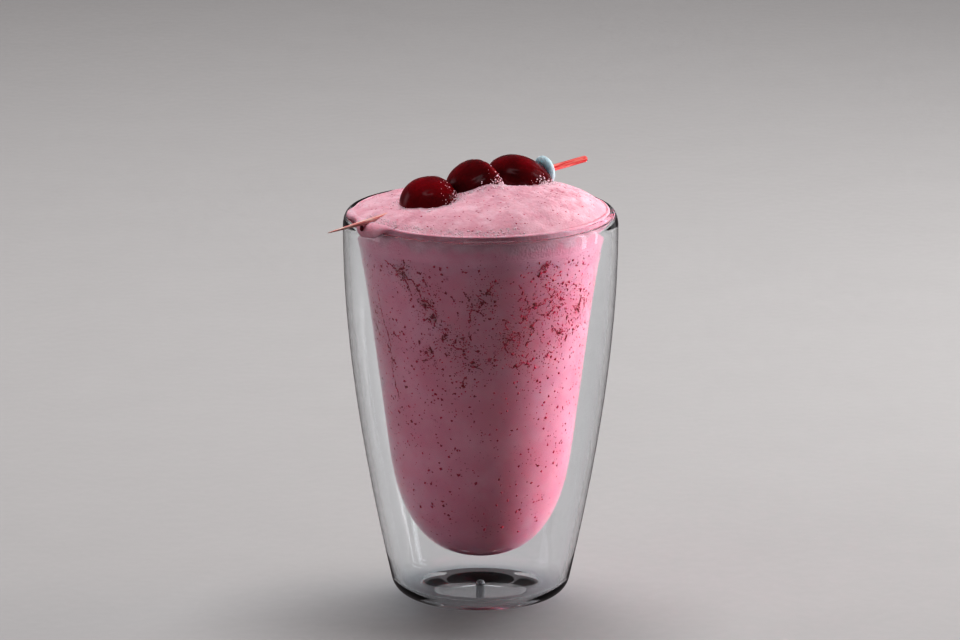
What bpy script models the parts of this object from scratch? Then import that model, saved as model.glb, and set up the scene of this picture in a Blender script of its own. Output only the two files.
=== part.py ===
"""A cherry milkshake in a double-walled glass.

The glass is blown in one piece: a bullet-shaped inner wall hangs inside a tapering outer wall, and the
two meet at the rounded rim. The small hole that the air left by is shut with a clear plug. Milkshake
fills the inner wall, and a frothy foam head domes above the rim and runs over it on one side. Three
cherries on a dyed bamboo pick lie half sunk in the foam, with a flat round bead in the last one's hollow.

The origin is the middle of the base, +Z is up, -Y is the front, and the pick's point lies to the left.
"""

import math

import bmesh
import bpy
import numpy as np
from mathutils import Vector

# Driving dimensions, in metres
GAP = 0.0003              # left open between pieces that touch
SIDES = 44                # facets round the glass, the drink and the bead

GLASS_HEIGHT = 0.1263
WALL = 0.0018             # thickness of either wall
WALL_HEIGHTS = (0.006, 0.045, 0.085, 0.1215)
WALL_RADII = (0.02885, 0.0367, 0.0422, 0.0440)
SHOULDER = 0.1215         # height where the outer wall starts to turn in to the rim
RIM_RADIUS = 0.0416       # radius of the rim's highest line
RIM_INSIDE = 0.0030       # drop from that line to the foot of the rim's inner round
FOOT_CORNER = 0.0071      # rounding radius of the outer bottom corner
FLOOR = 0.0026            # thickness of the base
CAVITY_TOP = 0.1245       # highest point of the air between the walls
CAVITY_CROWN = 0.0013     # height of its rounded top
VENT_RADIUS = 0.0018
PLUG_RADIUS = 0.0015
PLUG_HEIGHT = 0.0038

BOWL_BOTTOM = 0.0137      # lowest point of the inner wall
BOWL_JOIN = 0.0508        # height where its round bottom becomes a straight taper
BOWL_RADIUS = 0.0309      # radius of the inner wall at BOWL_MIDDLE, on the side of the air
BOWL_MIDDLE = 0.060
BOWL_TAPER = 0.1337       # growth of that radius for each metre of height
BOWL_ROUND = 2.7          # 2 would make the bottom elliptical, more makes it fuller
BOWL_CROWD = 1.35         # 1 would space its rows evenly, more crowds them at the bottom
FLARE = 0.0015            # extra spread of the inner wall at the rim
FLARE_START = 0.090
FLARE_POWER = 2.5         # how late that spread comes

FOAM_SIDES = 60
FOAM_CROWD = 0.55         # how much its facets crowd together where it runs over the rim
FOAM_BOTTOM = 0.1180      # level where drink becomes foam
DOME = 0.0070             # height of the foam's middle above its edge
DOME_POWER = 3.6          # fullness of the dome: 2 is a plain arch, more is flatter with a steeper edge
DOME_TILT = 9.0           # how much higher it stands towards +X, for each metre
# each heap on the dome: place, height, reach
HEAPS = ((0.001, -0.007, 0.0038, 0.0065), (0.012, -0.004, 0.0007, 0.008), (-0.033, -0.018, 0.0014, 0.007))
FOAM_EDGE = 0.0006        # thickness of the foam where it thins out on the rim
FOAM_SHORT = -0.0009      # where the foam ends on the rim: short of its highest line, or past it
EDGE_ROUND = 0.0008       # length of the rounding where its top comes down to the glass
EDGE_START = 0.0006       # least distance from the rim's highest line back to that rounding
OVER_FULL = 0.0020        # distance past that line where a run has its full thickness
UNDER_START = 0.0024      # distance before that line where the foam's under side becomes regular
RUN_LIMIT = 0.0040        # lowest that a run could reach, below the shoulder
SWELL = 0.00025           # height of the slow waves on the dome
SWELL_PACE = (310.0, 270.0)   # their pace across and back, in radians for each metre
SWELL_SHIFT = (1.0, 0.4)
# each run over the rim: bearing and half width in degrees, length past the usual end
RUNS = ((211.0, 7.5, 0.0052), (221.0, 6.0, 0.0038), (190.0, 10.0, 0.0026), (0.0, 45.0, 0.0006))

PICK_TIP = (-0.0480, -0.0311, 0.1257)
PICK_END = (0.0343, 0.0224, 0.1385)
PICK_RADIUS = 0.00105
PICK_POINT = 0.024        # length of the sharpened stretch
PICK_SHARP = 0.00015      # radius at the very tip
PICK_MIDWAY = 0.00075     # radius halfway up the sharpened stretch

BEAD_PLACE = 0.0824       # along the pick, from its tip
BEAD_RADIUS = 0.0049
BEAD_HALF = 0.0025        # half its thickness

# each cherry: place along the pick, radius, reach to its blunt end, reach to its hollowed end,
# depth and radius of the hollow, how far it sits above the pick, its stem end's tilt upwards in degrees
CHERRIES = (
    (0.0376, 0.0092, 0.0093, 0.0094, 0.0022, 0.0042, -0.0003, -4.0),
    (0.0562, 0.0095, 0.0105, 0.0075, 0.0024, 0.0044, 0.0005, 14.0),
    (0.0713, 0.0088, 0.0107, 0.0128, 0.0036, 0.0050, -0.0011, -35.0),
)
SHOULDER_ROUND = 2.5      # fullness of a cherry's hollowed end
CHERRY_OVAL = 0.020       # how far a cherry is from round: as an oval, as a rounded triangle, and askew
CHERRY_TRIANGLE = 0.013
CHERRY_SKEW = 0.0003
BORE = PICK_RADIUS + GAP


def clear_scene():
    for thing in list(bpy.data.objects):
        bpy.data.objects.remove(thing, do_unlink=True)


def material(name, colour, roughness, transmission=0.0):
    """A plain finish: one Principled shader with the piece's colour and gloss."""
    finish = bpy.data.materials.new(name)
    finish.use_nodes = True
    shader = finish.node_tree.nodes["Principled BSDF"]
    shader.inputs["Base Color"].default_value = (*colour, 1.0)
    shader.inputs["Roughness"].default_value = roughness
    shader.inputs["Transmission Weight"].default_value = transmission
    return finish


def solid_from_rings(name, rings, finish, ring_is_closed=False):
    """Skin a stack of rings of points, an array (rings, sides, 3), into one closed solid.

    The first and last rings are single points drawn together, unless ring_is_closed, where the last
    ring joins the first again, as on a bored piece.
    """
    count, sides = rings.shape[:2]
    bm = bmesh.new()
    grid = [[bm.verts.new(point) for point in ring] for ring in rings]
    for i in range(count if ring_is_closed else count - 1):
        low, high = grid[i], grid[(i + 1) % count]
        for j in range(sides):
            k = (j + 1) % sides
            bm.faces.new((low[j], low[k], high[k], high[j]))
    bmesh.ops.remove_doubles(bm, verts=bm.verts, dist=1e-7)
    bmesh.ops.recalc_face_normals(bm, faces=bm.faces)
    mesh = bpy.data.meshes.new(name)
    bm.to_mesh(mesh)
    bm.free()
    mesh.shade_smooth()
    mesh.set_sharp_from_angle(angle=math.radians(50))
    mesh.materials.append(finish)
    piece = bpy.data.objects.new(name, mesh)
    bpy.context.collection.objects.link(piece)
    return piece


def turned(name, profile, finish, sides=SIDES, ring_is_closed=False):
    """Turn a profile of (radius, height) points about the upright axis."""
    profile = np.asarray(profile)
    bearing = np.linspace(0, 2 * math.pi, sides, endpoint=False)
    radius = profile[:, 0, None]
    height = np.repeat(profile[:, 1, None], sides, axis=1)
    rings = np.stack([radius * np.cos(bearing), radius * np.sin(bearing), height], axis=2)
    return solid_from_rings(name, rings, finish, ring_is_closed)


def outer_radius(height):
    """The outer wall: a cubic through the four named stations."""
    return np.polyval(np.polyfit(WALL_HEIGHTS, WALL_RADII, 3), height)


def bowl_radius(height):
    """The inner wall's outer side: a straight taper, rounded off below and flared above."""
    taper = BOWL_RADIUS + BOWL_TAPER * (height - BOWL_MIDDLE)
    depth = np.clip((BOWL_JOIN - height) / (BOWL_JOIN - BOWL_BOTTOM), 0, 1)
    rise = np.clip((height - FLARE_START) / (GLASS_HEIGHT - FLARE_START), 0, 1)
    return taper * (1 - depth ** BOWL_ROUND) ** (1 / BOWL_ROUND) + FLARE * rise ** FLARE_POWER


def wall_points(radius_at, heights, inset):
    """Points on a wall at the given heights, moved square to it towards the axis by inset."""
    step = 1e-5
    lean = (radius_at(heights + step) - radius_at(heights - step)) / (2 * step)
    length = np.sqrt(1 + lean ** 2)
    radius = np.maximum(radius_at(heights) - inset / length, 0)
    return np.stack([radius, heights + inset * lean / length], axis=1)


def bowl_points(inset, top, bottom_rows, wall_rows):
    """The inner wall from its lowest point up to a height, with its rows closest at the bottom."""
    turn = 0.5 * math.pi * np.linspace(0, 1, bottom_rows) ** BOWL_CROWD
    round_part = BOWL_BOTTOM + (BOWL_JOIN - BOWL_BOTTOM) * (1 - np.cos(turn))
    straight_part = np.linspace(BOWL_JOIN, top, wall_rows + 1)[1:]
    points = wall_points(bowl_radius, np.concatenate([round_part, straight_part]), inset)
    points[0, 0] = 0
    return points


def rim_points(inner_rows, outer_rows):
    """Over the rim from the milkshake's side: an arc up, in line with the wall, then a taller one down."""
    step = 0.001
    heights = np.array([0, step]) + GLASS_HEIGHT - RIM_INSIDE
    (radius, height), (next_radius, next_height) = wall_points(bowl_radius, heights, WALL)
    lean = math.atan((next_radius - radius) / (next_height - height))
    across = (RIM_RADIUS - radius) / math.cos(lean)
    tall = (GLASS_HEIGHT - height) / (1 - math.sin(lean))
    up = np.linspace(lean, 0.5 * math.pi, inner_rows + 1)[1:]
    down = 0.5 * math.pi * np.linspace(0, 1, outer_rows + 1)[1:]
    rise = np.stack([RIM_RADIUS - across * np.cos(up), GLASS_HEIGHT - tall * (1 - np.sin(up))], 1)
    fall = np.stack([RIM_RADIUS + (outer_radius(SHOULDER) - RIM_RADIUS) * np.sin(down),
                     SHOULDER + (GLASS_HEIGHT - SHOULDER) * np.cos(down)], 1)
    return np.concatenate([rise, fall])


def foot_points(rows, inside=False):
    """The rounded bottom corner, from the wall down to the flat of the base."""
    lean = math.atan((outer_radius(FOOT_CORNER) - outer_radius(0.0)) / FOOT_CORNER)
    tangent = FOOT_CORNER * (1 - math.sin(lean))
    middle = outer_radius(tangent) - FOOT_CORNER * math.cos(lean)
    across = FOOT_CORNER - (WALL if inside else 0)
    down = FOOT_CORNER - (FLOOR if inside else 0)
    turn = np.linspace(-lean, -0.5 * math.pi, rows)
    return np.stack([middle + across * np.cos(turn), FOOT_CORNER + down * np.sin(turn)], 1)


def glass_profile():
    """One line from the bottom of the drinking side, over the rim, down the outside, in by the vent
    and up through the air space to the lowest point of the inner wall."""
    drinking_side = bowl_points(WALL, GLASS_HEIGHT - RIM_INSIDE, 8, 4)
    outside = wall_points(outer_radius, np.linspace(SHOULDER, FOOT_CORNER, 8)[1:-1], 0)
    corner = foot_points(5)
    vent = np.array([(VENT_RADIUS, 0), (VENT_RADIUS, FLOOR)])
    inner_corner = foot_points(4, inside=True)[::-1]
    seal = CAVITY_TOP - CAVITY_CROWN
    air_outside = wall_points(outer_radius, np.linspace(2 * FOOT_CORNER, seal, 6), WALL)
    air_inside = bowl_points(0, seal, 8, 4)[::-1]
    middle = 0.5 * (air_outside[-1, 0] + air_inside[0, 0])
    half = 0.5 * (air_outside[-1, 0] - air_inside[0, 0])
    turn = np.linspace(0, math.pi, 6)[1:-1]
    crown = np.stack([middle + half * np.cos(turn), seal + (CAVITY_TOP - seal) * np.sin(turn)], 1)
    return np.concatenate([drinking_side, rim_points(4, 5), outside, corner, vent, inner_corner,
                           air_outside, crown, air_inside])


def make_glass():
    finish = material("clear_glass", (0.93, 0.96, 0.97), 0.02, transmission=1.0)
    turned("glass", glass_profile(), finish)


def make_vent_plug():
    """A clear soft plug: flush with the base below, domed inside."""
    straight = PLUG_HEIGHT - PLUG_RADIUS
    turn = np.linspace(0, 0.5 * math.pi, 4)
    dome = np.stack([PLUG_RADIUS * np.cos(turn), straight + PLUG_RADIUS * np.sin(turn)], 1)
    profile = np.concatenate([[(0, 0), (PLUG_RADIUS, 0)], dome])
    profile[-1, 0] = 0
    turned("vent_plug", profile, material("clear_silicone", (0.80, 0.82, 0.84), 0.25, transmission=0.8), 16)


def make_milkshake():
    side = bowl_points(WALL + GAP, FOAM_BOTTOM - GAP, 9, 5)
    radius, level = side[-1]
    top = np.array([(0.5 * radius, level), (0, level)])
    turned("milkshake", np.concatenate([side, top]), material("milkshake", (0.78, 0.39, 0.46), 0.35))


def rim_path():
    """The glass's skin from the foam's lowest level, over the rim and down its outer shoulder.

    Returns closely spaced points, their distance along the skin, and the direction away from the glass.
    """
    heights = np.linspace(FOAM_BOTTOM, GLASS_HEIGHT - RIM_INSIDE, 60)
    below = np.linspace(SHOULDER, SHOULDER - RUN_LIMIT, 12)[1:]
    points = np.concatenate([wall_points(bowl_radius, heights, WALL), rim_points(40, 40),
                             wall_points(outer_radius, below, 0)])
    along = np.concatenate([[0], np.cumsum(np.linalg.norm(np.diff(points, axis=0), axis=1))])
    heading = np.gradient(points, axis=0)
    heading /= np.linalg.norm(heading, axis=1)[:, None]
    return points, along, np.stack([-heading[:, 1], heading[:, 0]], 1)


def heap_height(x, y):
    """What the heaps and slow waves add to the dome."""
    (pace_x, pace_y), (shift_x, shift_y) = SWELL_PACE, SWELL_SHIFT
    height = SWELL * np.sin(pace_x * x + shift_x) * np.sin(pace_y * y + shift_y)
    for place_x, place_y, tall, reach in HEAPS:
        height = height + tall * np.exp(-((x - place_x) ** 2 + (y - place_y) ** 2) / reach ** 2)
    return height


def foam_rings():
    """Rings of the foam head, from its top, out over the rim, back down inside and across its bottom."""
    points, along, away = rim_path()

    def beside(distance, clearance):
        """A point at a distance along the glass's skin, held off it by clearance."""
        radius = np.interp(distance, along, points[:, 0]) + clearance * np.interp(distance, along, away[:, 0])
        height = np.interp(distance, along, points[:, 1]) + clearance * np.interp(distance, along, away[:, 1])
        return radius, height

    turn = np.linspace(0, 2 * math.pi, FOAM_SIDES, endpoint=False)
    bearing = math.radians(RUNS[0][0]) + turn - FOAM_CROWD * np.sin(turn)
    crest = along[np.argmax(points[:, 1])]
    end = np.full(FOAM_SIDES, crest + FOAM_SHORT)
    for place, width, length in RUNS:
        apart = (np.degrees(bearing) - place + 180) % 360 - 180
        end += length * np.exp(-(apart / width) ** 2)
    over = np.clip((end - crest) / OVER_FULL, 0, 1)
    thickness = FOAM_EDGE * (1 + over)
    clearance = GAP * (1 + over)
    start = np.minimum(end - EDGE_ROUND, crest - EDGE_START)

    rings = []
    edge_radius, edge_height = beside(start, clearance + thickness)
    for share in np.linspace(0, 1, 11):
        x = share * edge_radius * np.cos(bearing)
        y = share * edge_radius * np.sin(bearing)
        level = edge_height.mean() + share ** 4 * (edge_height - edge_height.mean())
        dome = DOME * (1 + DOME_TILT * x) * (1 - share ** DOME_POWER)
        rings.append(np.stack([x, y, level + dome + (1 - share ** 8) * heap_height(x, y)], 1))

    def ring(radius, height):
        rings.append(np.stack([radius * np.cos(bearing), radius * np.sin(bearing), height], 1))

    for share in (0.35, 0.65, 0.88):
        ring(*beside(start + share * (end - start), clearance + thickness * math.sqrt(1 - share ** 2)))
    inner = crest - UNDER_START
    for distance in np.linspace(end.max(), inner, 11)[:-1]:
        ring(*beside(np.minimum(end, distance), clearance))
    for share in (1.0, 0.75, 0.45, 0.0):
        ring(*beside(np.full(FOAM_SIDES, share * inner), GAP))
    bottom_radius = np.hypot(rings[-1][:, 0], rings[-1][:, 1])
    for share in (0.5, 0.0):
        ring(share * bottom_radius, rings[-1][:, 2])
    return np.array(rings)


def cut_away(piece, cutters):
    """Hollow a piece where its neighbours' swollen copies reach into it."""
    for cutter in cutters:
        cut = piece.modifiers.new(cutter.name, "BOOLEAN")
        cut.operation = "DIFFERENCE"
        cut.solver = "EXACT"
        cut.object = cutter
        cutter.hide_render = True
        cutter.display_type = "WIRE"


def make_foam(beds):
    """The foam head, hollowed where the cherries, the bead and the pick lie in it."""
    foam = solid_from_rings("foam", foam_rings(), material("foam", (0.80, 0.50, 0.56), 0.5))
    cut_away(foam, beds)


def make_pick_line():
    """An empty at the pick's tip, with its +Z along the pick: the cherries and bead hang from it."""
    line = bpy.data.objects.new("pick_line", None)
    bpy.context.collection.objects.link(line)
    line.location = PICK_TIP
    line.rotation_mode = "QUATERNION"
    line.rotation_quaternion = (Vector(PICK_END) - Vector(PICK_TIP)).to_track_quat("Z", "Y")
    return line


def thread(piece, line, place, lift=0.0, tilt=0.0):
    piece.parent = line
    piece.location = (0, lift, place)
    piece.rotation_euler = (-math.radians(tilt), 0, 0)
    return piece


def pick_profile(grow=0.0):
    """From the sharp tip to the rounded end; grow makes the hollow that the pick leaves."""
    length = (Vector(PICK_END) - Vector(PICK_TIP)).length
    radius = PICK_RADIUS + grow
    point = [(0, -grow), (PICK_SHARP + grow, 0), (PICK_MIDWAY + grow, 0.5 * PICK_POINT), (radius, PICK_POINT)]
    turn = np.linspace(0, 0.5 * math.pi, 4)
    butt = [(radius * math.cos(a), length - radius + (radius + grow) * math.sin(a)) for a in turn]
    butt[-1] = (0, length + grow)
    return point + butt


def bead_profile(grow=0.0):
    """A flattened ball, bored for the pick; grow makes the hollow round it, without the bore."""
    edge = 0.5 * math.pi if grow else math.acos(BORE / BEAD_RADIUS)
    turn = np.linspace(-edge, edge, 9)
    profile = np.stack([(BEAD_RADIUS + grow) * np.cos(turn), (BEAD_HALF + grow) * np.sin(turn)], 1)
    if grow:
        profile[[0, -1], 0] = 0
    return profile


def cherry_rings(radius, blunt, hollowed, depth, mouth, seed, grow=0.0, sides=22):
    """A cherry about its stem axis, blunt end first.

    Its outline is an ellipse at the blunt end and a fuller, squarer curve at the stem end, pressed in
    by a smooth hollow. Slow waves round it make each cherry a little uneven. A swollen one, which
    shapes the bed it lies in, has no hollow.
    """
    wide = radius + grow
    full = 2 / SHOULDER_ROUND
    turn = np.concatenate([np.linspace(0, 0.5, 8), np.linspace(0.5, 1, 10)[1:]]) * math.pi
    top = turn > 0.5 * math.pi
    sine, cosine = np.sin(turn).clip(0), np.abs(np.cos(turn))
    across = wide * sine ** np.where(top, full, 1.0)
    along = np.where(top, (hollowed + grow) * cosine ** full, -(blunt + grow) * cosine)
    if not grow:
        along = along - np.where(top, depth * np.exp(-(across / mouth) ** 3), 0)
    bearing = np.linspace(0, 2 * math.pi, sides, endpoint=False)
    share = (across / wide)[:, None]
    wave = CHERRY_OVAL * np.sin(2 * bearing + seed) + CHERRY_TRIANGLE * np.sin(3 * bearing + 2.1 * seed)
    reach = across[:, None] * (1 + wave * share)
    height = along[:, None] + CHERRY_SKEW * share * np.sin(2 * bearing + 1.3 * seed)
    return np.stack([reach * np.cos(bearing), reach * np.sin(bearing), height], axis=2)


def make_garnish():
    """The pick, the bead and the cherries on it. Returns the swollen copies that shape the foam."""
    line = make_pick_line()

    bamboo = material("dyed_bamboo", (0.72, 0.10, 0.12), 0.55)
    thread(turned("pick", pick_profile(), bamboo, 12), line, 0)
    pick_bed = thread(turned("pick_bed", pick_profile(GAP), bamboo, 12), line, 0)

    frosted = material("frosted_bead", (0.45, 0.53, 0.58), 0.45)
    thread(turned("bead", bead_profile(), frosted, 22, ring_is_closed=True), line, BEAD_PLACE)
    bead_bed = thread(turned("bead_bed", bead_profile(GAP), frosted, 22), line, BEAD_PLACE)

    skin = material("cherry_skin", (0.13, 0.008, 0.015), 0.12)
    cherries, beds = [], []
    for number, (place, *shape, lift, tilt) in enumerate(CHERRIES, start=1):
        name = f"cherry_{number}"
        cherry = solid_from_rings(name, cherry_rings(*shape, seed=number), skin)
        bed = solid_from_rings(name + "_bed", cherry_rings(*shape, seed=number, grow=GAP), skin)
        cherries.append(thread(cherry, line, place, lift, tilt))
        beds.append(thread(bed, line, place, lift, tilt))
    for cherry, next_bed in zip(cherries, beds[1:] + [bead_bed]):
        cut_away(cherry, [pick_bed, next_bed])
    return [*beds, pick_bed, bead_bed]


clear_scene()
make_glass()
make_vent_plug()
make_milkshake()
make_foam(make_garnish())
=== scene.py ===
"""A cherry milkshake in a double-walled glass, dressed over its solids.

The sections follow the drink as it is put together: the glass and its plug, the milkshake, the foam,
the garnish on its pick, and then the table and light it is looked at in. Everything is in metres, +Z up,
with the origin in the middle of the base and the front towards -Y.
"""

import math

import bpy
import numpy as np
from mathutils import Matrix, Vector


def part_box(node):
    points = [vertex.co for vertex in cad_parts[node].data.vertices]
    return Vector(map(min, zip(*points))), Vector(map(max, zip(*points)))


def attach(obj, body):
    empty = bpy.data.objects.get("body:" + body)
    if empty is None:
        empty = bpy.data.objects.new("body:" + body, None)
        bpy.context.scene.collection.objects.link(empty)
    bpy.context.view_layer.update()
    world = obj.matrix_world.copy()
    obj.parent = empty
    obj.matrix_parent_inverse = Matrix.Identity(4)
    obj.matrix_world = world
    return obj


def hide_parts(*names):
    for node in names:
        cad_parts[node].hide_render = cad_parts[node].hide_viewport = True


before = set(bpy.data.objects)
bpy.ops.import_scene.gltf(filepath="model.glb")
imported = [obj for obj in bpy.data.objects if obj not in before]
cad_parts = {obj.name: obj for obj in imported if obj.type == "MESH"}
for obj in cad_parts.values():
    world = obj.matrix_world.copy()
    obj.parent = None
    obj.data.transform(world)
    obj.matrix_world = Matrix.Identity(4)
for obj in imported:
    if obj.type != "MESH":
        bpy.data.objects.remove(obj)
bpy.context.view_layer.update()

# The glass
# A double-walled latte glass in clear borosilicate. A bullet-shaped inner wall hangs in a tapering outer
# wall, and the two are fused at the rounded rim, with only air between them.

GLASS_SIDES = 180
GLASS_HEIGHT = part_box("glass")[1][2]
WALL = 0.0018             # thickness of either wall
WALL_HEIGHTS = (0.006, 0.045, 0.085, 0.1215)
WALL_RADII = (0.02885, 0.0367, 0.0422, 0.0440)
SHOULDER = 0.1215         # height where the outer wall starts to turn in to the rim
RIM_RADIUS = 0.0416       # radius of the rim's highest line
RIM_INSIDE = 0.0030       # drop from the rim's highest line to the foot of its inner round
FOOT_CORNER = 0.0071      # rounding radius of the outer bottom corner
FLOOR = 0.0026            # thickness of the base
CAVITY_TOP = 0.1245       # highest point of the air between the walls
CAVITY_CROWN = 0.0013     # height of its rounded top
VENT_RADIUS = 0.0018
BOWL_BOTTOM = 0.0137      # lowest point of the inner wall
BOWL_JOIN = 0.0508        # height where its round bottom becomes a straight taper
BOWL_RADIUS = 0.0309      # radius of the inner wall at BOWL_MIDDLE, on the side of the air
BOWL_MIDDLE = 0.060
BOWL_TAPER = 0.1337       # growth of that radius for each metre of height
BOWL_ROUND = 2.7          # 2 would make the bottom elliptical, more makes it fuller
BOWL_CROWD = 1.35         # 1 would space its rows evenly, more crowds them at the bottom
FLARE = 0.0015            # extra spread of the inner wall at the rim
FLARE_START = 0.090
FLARE_POWER = 2.5         # how late that spread comes


def outer_radius(height):
    """The outer wall's radius: a cubic in height through four measured stations."""
    return np.polyval(np.polyfit(WALL_HEIGHTS, WALL_RADII, 3), height)


def bowl_radius(height):
    """The inner wall on the side of the air: a straight taper, a superellipse below and a flare above."""
    taper = BOWL_RADIUS + BOWL_TAPER * (height - BOWL_MIDDLE)
    depth = np.clip((BOWL_JOIN - height) / (BOWL_JOIN - BOWL_BOTTOM), 0, 1)
    rise = np.clip((height - FLARE_START) / (GLASS_HEIGHT - FLARE_START), 0, 1)
    return taper * (1 - depth ** BOWL_ROUND) ** (1 / BOWL_ROUND) + FLARE * rise ** FLARE_POWER


def wall_points(radius_at, heights, inset):
    """(radius, height) of points at the given heights of a wall, moved by inset along the wall's normal."""
    step = 1e-5
    lean = (radius_at(heights + step) - radius_at(heights - step)) / (2 * step)
    length = np.sqrt(1 + lean ** 2)
    radius = np.maximum(radius_at(heights) - inset / length, 0)
    return np.stack([radius, heights + inset * lean / length], axis=1)


def bowl_points(inset, top, bottom_rows, wall_rows):
    """The inner wall from its lowest point up to a height: cosine spacing round the bottom, even above."""
    turn = 0.5 * math.pi * np.linspace(0, 1, bottom_rows) ** BOWL_CROWD
    round_part = BOWL_BOTTOM + (BOWL_JOIN - BOWL_BOTTOM) * (1 - np.cos(turn))
    straight_part = np.linspace(BOWL_JOIN, top, wall_rows + 1)[1:]
    points = wall_points(bowl_radius, np.concatenate([round_part, straight_part]), inset)
    points[0, 0] = 0
    return points


def rim_points(inner_rows, outer_rows):
    """Over the rim from the drinking side: an arc up, in line with the wall, then a taller one down."""
    heights = np.array([0, 0.001]) + GLASS_HEIGHT - RIM_INSIDE
    (radius, height), (next_radius, next_height) = wall_points(bowl_radius, heights, WALL)
    lean = math.atan((next_radius - radius) / (next_height - height))
    across = (RIM_RADIUS - radius) / math.cos(lean)
    tall = (GLASS_HEIGHT - height) / (1 - math.sin(lean))
    up = np.linspace(lean, 0.5 * math.pi, inner_rows + 1)[1:]
    down = 0.5 * math.pi * np.linspace(0, 1, outer_rows + 1)[1:]
    rise = np.stack([RIM_RADIUS - across * np.cos(up), GLASS_HEIGHT - tall * (1 - np.sin(up))], 1)
    fall = np.stack([RIM_RADIUS + (outer_radius(SHOULDER) - RIM_RADIUS) * np.sin(down),
                     SHOULDER + (GLASS_HEIGHT - SHOULDER) * np.cos(down)], 1)
    return np.concatenate([rise, fall])


def foot_points(rows, inside=False):
    """The rounded bottom corner: an arc tangent to the wall and to the flat of the base."""
    lean = math.atan((outer_radius(FOOT_CORNER) - outer_radius(0.0)) / FOOT_CORNER)
    middle = outer_radius(FOOT_CORNER * (1 - math.sin(lean))) - FOOT_CORNER * math.cos(lean)
    across = FOOT_CORNER - (WALL if inside else 0)
    down = FOOT_CORNER - (FLOOR if inside else 0)
    turn = np.linspace(-lean, -0.5 * math.pi, rows)
    return np.stack([middle + across * np.cos(turn), FOOT_CORNER + down * np.sin(turn)], 1)


def glass_profile():
    """The glass's section as one line: drinking side, rim, outside, vent, and back up round the air."""
    seal = CAVITY_TOP - CAVITY_CROWN
    air_outside = wall_points(outer_radius, np.linspace(2 * FOOT_CORNER, seal, 24), WALL)
    air_inside = bowl_points(0, seal, 26, 16)[::-1]
    middle = 0.5 * (air_outside[-1, 0] + air_inside[0, 0])
    half = 0.5 * (air_outside[-1, 0] - air_inside[0, 0])
    turn = np.linspace(0, math.pi, 14)[1:-1]
    crown = np.stack([middle + half * np.cos(turn), seal + (CAVITY_TOP - seal) * np.sin(turn)], 1)
    return np.concatenate([
        bowl_points(WALL, GLASS_HEIGHT - RIM_INSIDE, 26, 18), rim_points(10, 12),
        wall_points(outer_radius, np.linspace(SHOULDER, FOOT_CORNER, 26)[1:-1], 0), foot_points(12),
        [(VENT_RADIUS, 0), (VENT_RADIUS, FLOOR)], foot_points(10, inside=True)[::-1],
        air_outside, crown, air_inside])


def turn_rows(profile, sides):
    """Rows of points (rows, sides, 3): a profile's (radius, height) carried round the upright axis."""
    bearing = np.linspace(0, 2 * math.pi, sides, endpoint=False)
    radius, height = np.asarray(profile).T[:, :, None]
    return np.stack([radius * np.cos(bearing), radius * np.sin(bearing), height + 0 * bearing], axis=2)


def skin(name, rows, finish, replaced=(), loop=False):
    """One closed piece from rows of points that run round it.

    Quads join each row to the next. The first and last rows are drawn together to poles, or joined to
    each other in a loop. Faces are turned outwards if the signed volume, a sum of triple products of
    the triangles' corners, comes out negative.
    """
    middle = rows if loop else rows[1:-1]
    count, sides = middle.shape[:2]
    index = np.arange(count * sides).reshape(count, sides)
    beside = np.roll(index, -1, axis=1)
    low, low_next = (index, beside) if loop else (index[:-1], beside[:-1])
    high, high_next = (np.roll(a, -1, axis=0) for a in (index, beside)) if loop else (index[1:], beside[1:])
    faces = np.stack([low, low_next, high_next, high], axis=-1).reshape(-1, 4)
    points = middle.reshape(-1, 3)
    ends = np.empty((0, 3), int)
    if not loop:
        points = np.concatenate([points, [rows[0].mean(axis=0), rows[-1].mean(axis=0)]])
        foot, head = np.full(sides, len(points) - 2), np.full(sides, len(points) - 1)
        ends = np.concatenate([np.stack([foot, beside[0], index[0]], 1),
                               np.stack([head, index[-1], beside[-1]], 1)])
    halves = np.concatenate([faces[:, :3], faces[:, [0, 2, 3]], ends])
    a, b, c = (points[halves[:, i]] for i in range(3))
    if (np.cross(a, b) * c).sum() < 0:
        faces, ends = faces[:, ::-1], ends[:, ::-1]
    return mesh_piece(name, points, faces.tolist() + ends.tolist(), finish, replaced)


def mesh_piece(name, points, faces, finish, replaced=()):
    """A smooth-shaded piece that rides on the one body, and stands for the solids that it replaces."""
    mesh = bpy.data.meshes.new(name)
    mesh.from_pydata(points.tolist(), [], faces)
    mesh.polygons.foreach_set("use_smooth", np.ones(len(mesh.polygons), bool))
    mesh.materials.append(finish)
    piece = bpy.data.objects.new(name, mesh)
    bpy.context.collection.objects.link(piece)
    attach(piece, "root")
    if replaced:
        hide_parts(*replaced)
    return piece


def add(tree, kind, inputs=None, **settings):
    """A shader node with its settings made and its inputs set or wired."""
    made = tree.nodes.new("ShaderNode" + kind)
    for key, value in settings.items():
        setattr(made, key, value)
    for key, value in (inputs or {}).items():
        if isinstance(value, bpy.types.NodeSocket):
            tree.links.new(value, made.inputs[key])
        else:
            made.inputs[key].default_value = value
    return made


def finish_of(name, **values):
    """A material with its shader, and the place on the piece that its patterns read."""
    finish = bpy.data.materials.new(name)
    finish.use_nodes = True
    tree = finish.node_tree
    shader = tree.nodes["Principled BSDF"]
    for key, value in values.items():
        shader.inputs[key.replace("_", " ")].default_value = value
    return finish, tree, shader, add(tree, "TexCoord").outputs["Object"]


def noise(tree, place, scale, detail=2.0, roughness=0.5):
    """A cloudy pattern from 0 to 1, scale being its hills for each metre."""
    return add(tree, "TexNoise", {"Vector": place, "Scale": scale, "Detail": detail,
                                  "Roughness": roughness}).outputs["Fac"]


def span(tree, value, low, high, start=0.0, end=1.0):
    """The value between low and high, spread smoothly over start to end."""
    return add(tree, "MapRange", {"Value": value, "From Min": low, "From Max": high, "To Min": start,
                                  "To Max": end}, interpolation_type="SMOOTHSTEP").outputs["Result"]


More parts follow.
